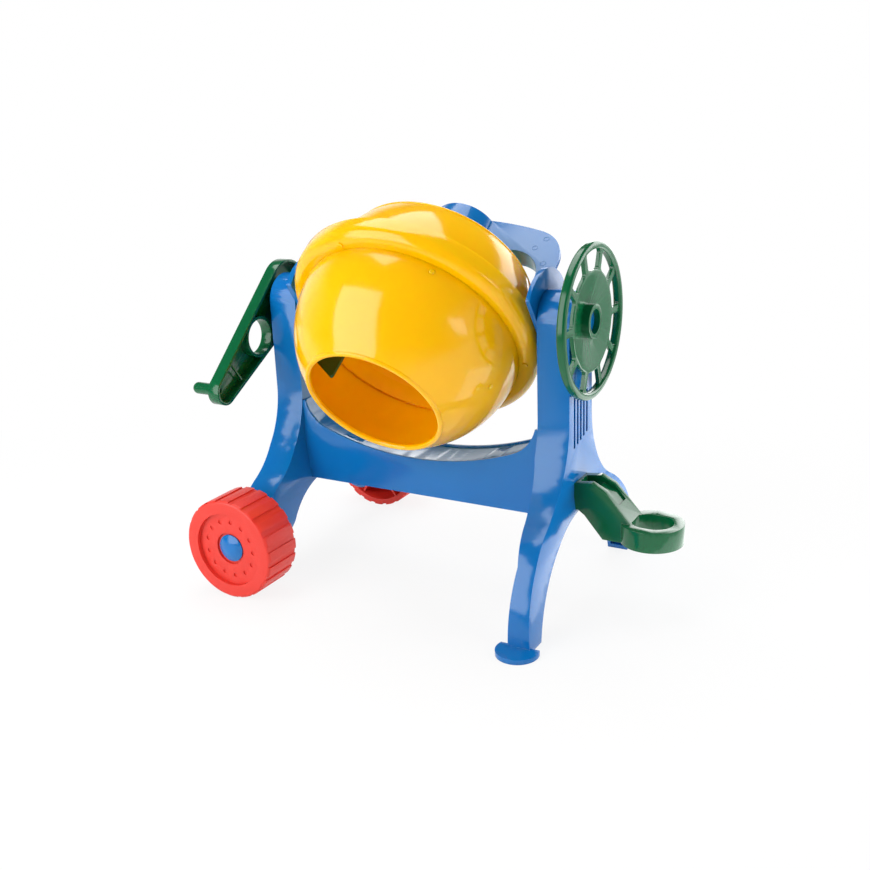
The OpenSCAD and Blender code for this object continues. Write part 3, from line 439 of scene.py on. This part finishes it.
disc = add(screw_tree, "GeometryNodeMeshCylinder", {
    "Vertices": ROUND_STEPS, "Radius": screw["Head radius"], "Depth": screw["Head height"]})
disc_middle = add(screw_tree, "ShaderNodeMath", {0: screw["Head height"], 1: -0.5},
                  operation="MULTIPLY")
crown_radius = add(screw_tree, "ShaderNodeMath", {0: screw["Head radius"], 1: CROWN_SHARE},
                   operation="MULTIPLY")
crown = add(screw_tree, "GeometryNodeMeshUVSphere", {
    "Segments": CROWN_STEPS, "Rings": CROWN_STEPS // 2, "Radius": crown_radius})
crown_middle = add(screw_tree, "ShaderNodeMath", {0: crown_radius, 1: -1}, operation="MULTIPLY")
head = add(screw_tree, "GeometryNodeMeshBoolean", {
    "Mesh 2": [raised(screw_tree, disc, disc_middle), raised(screw_tree, crown, crown_middle)],
}, operation="INTERSECT")
bar_height = add(screw_tree, "ShaderNodeMath", {0: screw["Recess depth"], 1: 2},
                 operation="MULTIPLY")
bars = []
for long_way in ("X", "Y"):
    sides = {"X": screw["Recess width"], "Y": screw["Recess width"], "Z": bar_height}
    sides[long_way] = screw["Recess length"]
    bar = add(screw_tree, "ShaderNodeCombineXYZ", sides)
    bars.append(add(screw_tree, "GeometryNodeMeshCube", {"Size": bar}))
pan = add(screw_tree, "GeometryNodeMeshBoolean", {"Mesh 1": head, "Mesh 2": bars},
          operation="DIFFERENCE")
shank = add(screw_tree, "GeometryNodeMeshCylinder", {
    "Vertices": ROUND_STEPS, "Radius": screw["Shank radius"], "Depth": screw["Shank length"]})
half_shank = add(screw_tree, "ShaderNodeMath", {0: screw["Shank length"], 1: -0.5},
                 operation="MULTIPLY")
shank_middle = add(screw_tree, "ShaderNodeMath", {0: half_shank, 1: screw["Head height"]},
                   operation="SUBTRACT")
whole = add(screw_tree, "GeometryNodeJoinGeometry", {
    "Geometry": [pan, raised(screw_tree, shank, shank_middle)]})
screw_facing = add(screw_tree, "GeometryNodeInputNamedAttribute", {"Name": "facing"},
                   data_type="FLOAT_VECTOR")
screws = spread_on(screw_tree, screw["Places"], whole, screw_facing.outputs["Attribute"])
end_tree(screw_tree, screws, finish_of["screw_steel"])

# %% [markdown]
# The screws' places could be typed in, but they are read off the CAD screws, so that the
# heads stay where the solids have them. Most lie along X, and the spindle's screw lies
# along the drum's axis. Each place is a point that carries the way its screw faces.

# %% Screws in their places
SCREW_M = screw_sizes["Head height"] + screw_sizes["Shank length"]
HEAD_M = screw_sizes["Head radius"]


def facing_points(name, places):
    seed = bpy.data.meshes.new(name)
    seed.from_pydata([point for point, facing in places], [], [])
    facings = seed.attributes.new("facing", "FLOAT_VECTOR", "POINT")
    for value, (_, facing) in zip(facings.data, places):
        value.vector = facing
    return seed


def pair(node, x, facing):
    low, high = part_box(node)
    middle = (low[2] + high[2]) / 2
    return [((x, y, middle), facing) for y in (low[1] + HEAD_M, high[1] - HEAD_M)]


def screwed(name, body, places):
    return grow(name, screw_tree, screw_sizes, body, facing_points(name, places))


frame_low, frame_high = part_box("frame_screws")
hitch_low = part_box("hitch_screws")[0]
on_frame = (pair("frame_screws", frame_low[0] + SCREW_M, ALONG_X)
            + pair("frame_screws", frame_high[0] - SCREW_M, -ALONG_X)
            + pair("hitch_screws", hitch_low[0], -ALONG_X))
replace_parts(screwed("frame_pan_screws", "frame", on_frame), "frame_screws", "hitch_screws")
crank_low, crank_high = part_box("crank_screw")
crank_middle = [(low + high) / 2 for low, high in zip(crank_low, crank_high)]
on_crank = [((crank_low[0], *crank_middle[1:]), -ALONG_X)]
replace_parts(screwed("crank_pan_screw", "crank", on_crank), "crank_screw")
spindle_top = max((vert.co - PIVOT).dot(MOUTH_WAY) for vert in nodes["spindle_screw"].data.vertices)
on_spindle = [(PIVOT + MOUTH_WAY * spindle_top, MOUTH_WAY)]
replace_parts(screwed("spindle_pan_screw", "yoke", on_spindle), "spindle_screw")

# %% [markdown]
# Ejector pins push a moulding off its core and leave faint rings. Three show at each end
# of the yoke's plate. A bump could draw them, but a thin ridge of real geometry also
# shows in the exported mesh.

# %% Pin rings on the yoke
PLATE_WAY = MOUTH_WAY.cross(ALONG_X)
PLATE_MM = 10
PIN_MM = [(88.6, -80.7), (82.0, -69.3), (96.0, -51.2)]
RING_STEPS = 40
RIDGE_STEPS = 10
pin_sizes = {"Ring radius": 2.4 * MM, "Ridge radius": 0.18 * MM}
pin_tree, pin = sized_tree("pin_rings", pin_sizes)
circle = add(pin_tree, "GeometryNodeCurvePrimitiveCircle", {
    "Resolution": RING_STEPS, "Radius": pin["Ring radius"]})
ridge = add(pin_tree, "GeometryNodeCurvePrimitiveCircle", {
    "Resolution": RIDGE_STEPS, "Radius": pin["Ridge radius"]})
pin_ring = add(pin_tree, "GeometryNodeCurveToMesh", {"Curve": circle, "Profile Curve": ridge})
pin_facing = add(pin_tree, "GeometryNodeInputNamedAttribute", {"Name": "facing"},
                 data_type="FLOAT_VECTOR")
pin_rings = spread_on(pin_tree, pin["Places"], pin_ring, pin_facing.outputs["Attribute"])
end_tree(pin_tree, pin_rings, finish_of["frame_blue"])
on_plate = [(PIVOT + (ALONG_X * x * side + MOUTH_WAY * ahead + PLATE_WAY * PLATE_MM) * MM, PLATE_WAY)
            for x, ahead in PIN_MM for side in (-1, 1)]
grow("yoke_pin_rings", pin_tree, pin_sizes, "yoke", facing_points("pins", on_plate))

# %% [markdown]
# The hand wheel's windows have round corners, far rounder than its other edges, so the
# bevel can't make them. The four fillets of one window are drawn instead. A fillet is a
# flat outline with a hollow arc, tucked a little way into the wheel, and made into a
# prism.

# %% Fillets of one window
FILLET_MM = 3.0
TUCK_MM = 0.4
ARC_STEPS = 8
WINDOWS = 10
WEB_MM = 3.16
SPOKE_MM = 5.5
WINDOW_MM = (41.0, 57.1)


def fillet_outline(corner, along, across):
    round_at = corner + (along + across) * FILLET_MM
    angles = [math.pi / 2 * step / ARC_STEPS for step in range(ARC_STEPS + 1)]
    arc = [round_at - along * FILLET_MM * math.sin(angle) - across * FILLET_MM * math.cos(angle)
           for angle in angles]
    tuck = (along + across) * TUCK_MM
    return [corner - tuck, arc[0] - across * TUCK_MM, *arc, arc[-1] - along * TUCK_MM]


def prism(shape, outline, half_thickness):
    low = [shape.verts.new(point - ALONG_X * half_thickness) for point in outline]
    high = [shape.verts.new(point + ALONG_X * half_thickness) for point in outline]
    shape.faces.new(low)
    shape.faces.new(high)
    for i in range(len(outline)):
        shape.faces.new((low[i - 1], low[i], high[i], high[i - 1]))


def mesh_of(name, shape):
    mesh = bpy.data.meshes.new(name)
    shape.to_mesh(mesh)
    shape.free()
    return mesh


half_window = math.pi / WINDOWS
fillets = bmesh.new()
for side in (-1, 1):
    spoke = Vector((0, side * math.sin(half_window), -math.cos(half_window)))
    inwards = Vector((0, -side * math.cos(half_window), -math.sin(half_window)))
    for radius_mm, way in zip(WINDOW_MM, (1, -1)):
        along_spoke = math.sqrt(radius_mm ** 2 - (SPOKE_MM / 2) ** 2)
        corner = spoke * along_spoke + inwards * SPOKE_MM / 2
        outline = [point * MM for point in fillet_outline(corner, spoke * way, inwards)]
        prism(fillets, outline, WEB_MM / 2 * MM)
bmesh.ops.recalc_face_normals(fillets, faces=fillets.faces)
window_fillets = mesh_of("window_fillets", fillets)
print("faces in one window:", len(window_fillets.polygons))

# %% [markdown]
# A ring array repeats the window's fillets round the wheel. An Array modifier would need
# a second object to turn about, so a tree puts one point for each window in the wheel's
# middle and turns each a step further.

# %% Fillets round the hand wheel
RIM_HALF_MM = 3.7
WHEEL_MIDDLE = (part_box("hand_wheel")[1][0] - RIM_HALF_MM * MM, PIVOT.y, PIVOT.z)
array_sizes = {"Count": WINDOWS, "Middle": WHEEL_MIDDLE}
array_tree, array = sized_tree("ring_array", array_sizes)
window_number = add(array_tree, "GeometryNodeInputIndex")
window_step = add(array_tree, "ShaderNodeMath", {0: math.tau, 1: array["Count"]}, operation="DIVIDE")
turn = add(array_tree, "ShaderNodeMath", {0: window_number, 1: window_step}, operation="MULTIPLY")
about_x = add(array_tree, "ShaderNodeCombineXYZ", {"X": turn})
turned = add(array_tree, "FunctionNodeEulerToRotation", {"Euler": about_x})
hubs = add(array_tree, "GeometryNodePoints", {
    "Count": array["Count"], "Position": array["Middle"]})
all_windows = add(array_tree, "GeometryNodeInstanceOnPoints", {
    "Points": hubs, "Instance": array["Places"], "Rotation": turned})
end_tree(array_tree, all_windows, finish_of["drive_green"])
grow("hand_wheel_fillets", array_tree, array_sizes, "yoke", window_fillets)

# %% [markdown]
# A low rib crosses the crank's tray above the handle and stiffens it. It is one plain
# bar, so it needs no tree, and the same prism makes it.

# %% Rib in the crank's tray
ARM_ANGLE = math.radians(36)
RIB_AT_MM = 90.0
RIB_WIDE_MM = 24.8
RIB_THICK_MM = 1.0
RIB_TALL_MM = 2.3
TRAY_MM = -178.0
arm = Vector((0, -math.cos(ARM_ANGLE), -math.sin(ARM_ANGLE)))
rib_way = arm.cross(ALONG_X)
rib_middle = Vector(((TRAY_MM + RIB_TALL_MM / 2) * MM, PIVOT.y, PIVOT.z)) + arm * RIB_AT_MM * MM
rib_outline = [rib_middle + (arm * a * RIB_THICK_MM / 2 + rib_way * b * RIB_WIDE_MM / 2) * MM
               for a, b in ((-1, -1), (1, -1), (1, 1), (-1, 1))]
rib_shape = bmesh.new()
prism(rib_shape, rib_outline, RIB_TALL_MM / 2 * MM)
bmesh.ops.recalc_face_normals(rib_shape, faces=rib_shape.faces)
rib = linked("crank_tray_rib", mesh_of("crank_tray_rib", rib_shape))
rib.data.materials.append(finish_of["drive_green"])
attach(rib, "crank")
print(rib.name, "faces:", len(rib.data.polygons))

# %% [markdown]
# ## The remaining solids
# Axles, shafts, bushes and gears are small or out of sight, so they keep their exact
# shape. Every solid takes the finish of its slot, also one that a moulding replaces.

# %% Finish the solids
for node, solid in nodes.items():
    solid.data.materials.clear()
    solid.data.materials.append(finish_of[slot_of[node]])
print("solids with a finish:", len(nodes))

# %% [markdown]
# ## Studio
# The toy stands on a white sweep in a room that is dim in front, so glossy faces turned
# to the back or to the floor go pale and those turned to the camera keep their colour.
# More light would whiten the background too, but it would bleach the toy. So the room
# asks what kind of ray looks at it, and to the camera it is white all round.

# %% Room
WHITE = 1.0
BEHIND = (-0.5, 0.3)
LOW_DOWN = (0.3, 0.5)
MIRROR_LEVELS = (0.1, 1.0)
LIGHT_LEVELS = (0.2, 0.5)
MIX_A, MIX_B = 2, 3
world = bpy.data.worlds.new("studio")
bpy.context.scene.world = world
world.use_nodes = True
sky = world.node_tree
sky.nodes.clear()


def ray_kinds(tree):
    ray = add(tree, "ShaderNodeLightPath").outputs
    mirror = add(tree, "ShaderNodeMath", {0: ray["Is Glossy Ray"], 1: ray["Is Transmission Ray"]},
                 operation="MAXIMUM")
    return ray["Is Camera Ray"], mirror


camera_ray, mirror_ray = ray_kinds(sky)
ray_way = add(sky, "ShaderNodeTexCoord").outputs["Generated"]
_, depth_way, height_way = add(sky, "ShaderNodeSeparateXYZ", {"Vector": ray_way}).outputs
behind = add(sky, "ShaderNodeMapRange", {
    "Value": depth_way, "From Min": BEHIND[0], "From Max": BEHIND[1]})
low_down = add(sky, "ShaderNodeMapRange", {
    "Value": height_way, "From Min": LOW_DOWN[0], "From Max": LOW_DOWN[1],
    "To Min": 1.0, "To Max": 0.0})
sweep = add(sky, "ShaderNodeMath", {0: behind, 1: low_down}, operation="MULTIPLY")
mirror_level = add(sky, "ShaderNodeMapRange", {
    "Value": sweep, "To Min": MIRROR_LEVELS[0], "To Max": MIRROR_LEVELS[1]})
light_level = add(sky, "ShaderNodeMapRange", {
    "Value": sweep, "To Min": LIGHT_LEVELS[0], "To Max": LIGHT_LEVELS[1]})
unseen = add(sky, "ShaderNodeMix", {
    "Factor": mirror_ray, MIX_A: light_level, MIX_B: mirror_level})
room_level = add(sky, "ShaderNodeMix", {"Factor": camera_ray, MIX_A: unseen, MIX_B: WHITE})
room = add(sky, "ShaderNodeBackground", {"Color": linear("#FFFFFF"), "Strength": room_level})
add(sky, "ShaderNodeOutputWorld", {"Surface": room})
print("room nodes:", len(sky.nodes))

# %% [markdown]
# One large soft box at the left of the camera and a small one at the right show in the
# drum. Their places were worked back from those two reflections. A panel at the right
# fills the towers' sides and is kept out of the reflections, and a lit patch of paper
# beside the toy shows in those sides instead and makes them paler. A wide panel hangs
# overhead, and a long one stands behind for the pale tops.

# %% Soft boxes
MIDDLE = (0, 0, 0.17)
DRUM = (-0.0235, -0.024, 0.221)
FRONT_FLOOR = (1.0, -0.9, -0.11)
PATCH = (0.32, 0.26, 0.004)
ABOVE_PATCH = (0.32, 0.26, 1)


def soft_box(name, at, towards, size, watts, roll=0, mirrored=True):
    lamp = bpy.data.lights.new(name, "AREA")
    lamp.shape = "RECTANGLE"
    lamp.size, lamp.size_y = size
    lamp.energy = watts
    holder = linked(name, lamp)
    holder.location = at
    aim = (Vector(towards) - Vector(at)).to_track_quat("-Z", "Y")
    holder.rotation_euler = (aim @ Quaternion((0, 0, 1), math.radians(roll))).to_euler()
    holder.visible_camera = False
    holder.visible_glossy = mirrored


soft_box("front_left_box", (-0.42, -0.86, 0.55), DRUM, size=(0.8, 1.04), watts=10, roll=11)
soft_box("right_box", (1.46, -0.35, 0.58), FRONT_FLOOR, size=(0.5, 0.5), watts=2.2, roll=55)
soft_box("right_fill", (1.6, 0.1, 0.6), MIDDLE, size=(1.2, 1.2), watts=11, mirrored=False)
soft_box("lit_paper", PATCH, ABOVE_PATCH, size=(0.34, 0.68), watts=0.9)
soft_box("overhead", (-0.4, 0.35, 1.7), MIDDLE, size=(1.2, 1.2), watts=18)
soft_box("back_panel", (0.35, 1.9, 0.6), MIDDLE, size=(3.2, 1.1), watts=32)
print("soft boxes:", [lamp.name for lamp in bpy.data.lights])

# %% [markdown]
# The drum's thin walls let daylight through, so its inside glows orange. Light that has
# to cross a wall is slow and grainy to render. A dim lamp at the middle of the drum, where
# the tilt axis and the drum's axis meet, stands for it in every pose.

# %% Light inside the drum
GLOW_WATTS = 0.07
GLOW_MM = 30
glow_lamp = bpy.data.lights.new("drum_glow", "POINT")
glow_lamp.energy = GLOW_WATTS
glow_lamp.shadow_soft_size = GLOW_MM * MM
inside = linked("drum_glow", glow_lamp)
inside.location = PIVOT
inside.visible_camera = False
inside.visible_glossy = False
print("lamps:", len(bpy.data.lights))

# %% [markdown]
# The paper keeps the shadow close to the toy and fades to plain white away from it. Light
# alone would leave it grey, so it glows by itself for the camera, a little less near the
# toy. In reflections the paper far in front is dimmer, so no hard horizon shows in the
# drum, and a part far behind is darker, so the hand wheel that mirrors it stays green.

# %% White paper
SHADOW_M = (0.3, 0.75)
SHADOW_SHARES = (0.86, 1.0)
FRONT_M = (-1.0, -0.4)
FRONT_LEVELS = (0.25, 1.0)
FAR_M = (0.6, 0.8)
FAR_SIDE_M = (0.44, 0.54)
FAR_DARK = (0.7, 0.0)
PAPER_GREY = linear("#EDEDED")
paper, sheet = new_material("white_paper_sweep")
camera_ray, mirror_ray = ray_kinds(sheet)
spot = add(sheet, "ShaderNodeTexCoord").outputs["Object"]
side_m, depth_m, _ = add(sheet, "ShaderNodeSeparateXYZ", {"Vector": spot}).outputs
front_level = add(sheet, "ShaderNodeMapRange", {
    "Value": depth_m, "From Min": FRONT_M[0], "From Max": FRONT_M[1],
    "To Min": FRONT_LEVELS[0], "To Max": FRONT_LEVELS[1]})
far_behind = add(sheet, "ShaderNodeMapRange", {
    "Value": depth_m, "From Min": FAR_M[0], "From Max": FAR_M[1]})
far_dark = add(sheet, "ShaderNodeMapRange", {
    "Value": side_m, "From Min": FAR_SIDE_M[0], "From Max": FAR_SIDE_M[1],
    "To Min": FAR_DARK[0], "To Max": FAR_DARK[1]})
dark = add(sheet, "ShaderNodeMath", {0: far_behind, 1: far_dark}, operation="MULTIPLY")
dimmed = add(sheet, "ShaderNodeMath", {0: front_level, 1: dark}, operation="SUBTRACT")
paper_level = add(sheet, "ShaderNodeMix", {"Factor": mirror_ray, MIX_A: WHITE, MIX_B: dimmed})
white = add(sheet, "ShaderNodeEmission", {"Color": linear("#FFFFFF"), "Strength": paper_level})
matt = add(sheet, "ShaderNodeBsdfDiffuse", {"Color": PAPER_GREY})
away = add(sheet, "ShaderNodeVectorMath", {0: spot}, operation="LENGTH")
fade = add(sheet, "ShaderNodeMapRange", {
    "Value": away.outputs["Value"], "From Min": SHADOW_M[0], "From Max": SHADOW_M[1],
    "To Min": SHADOW_SHARES[0], "To Max": SHADOW_SHARES[1]})
looked_at = add(sheet, "ShaderNodeMath", {0: camera_ray, 1: mirror_ray}, operation="MAXIMUM")
share = add(sheet, "ShaderNodeMath", {0: looked_at, 1: fade}, operation="MULTIPLY")
shown = add(sheet, "ShaderNodeMixShader", {0: share, 1: matt, 2: white})
add(sheet, "ShaderNodeOutputMaterial", {"Surface": shown})
print("paper nodes:", len(sheet.nodes))

# %% [markdown]
# A studio sweep curves up behind the object. Here the floor is a plain disc, wide enough
# that the white room takes over where it ends, so it needs no curve.

# %% Paper sweep
FLOOR_M = 6.0
FLOOR_STEPS = 64
floor_shape = bmesh.new()
bmesh.ops.create_circle(floor_shape, cap_ends=True, segments=FLOOR_STEPS, radius=FLOOR_M)
floor = linked("floor", mesh_of("floor", floor_shape))
floor.data.materials.append(paper)
print("floor:", 2 * FLOOR_M, "m across")
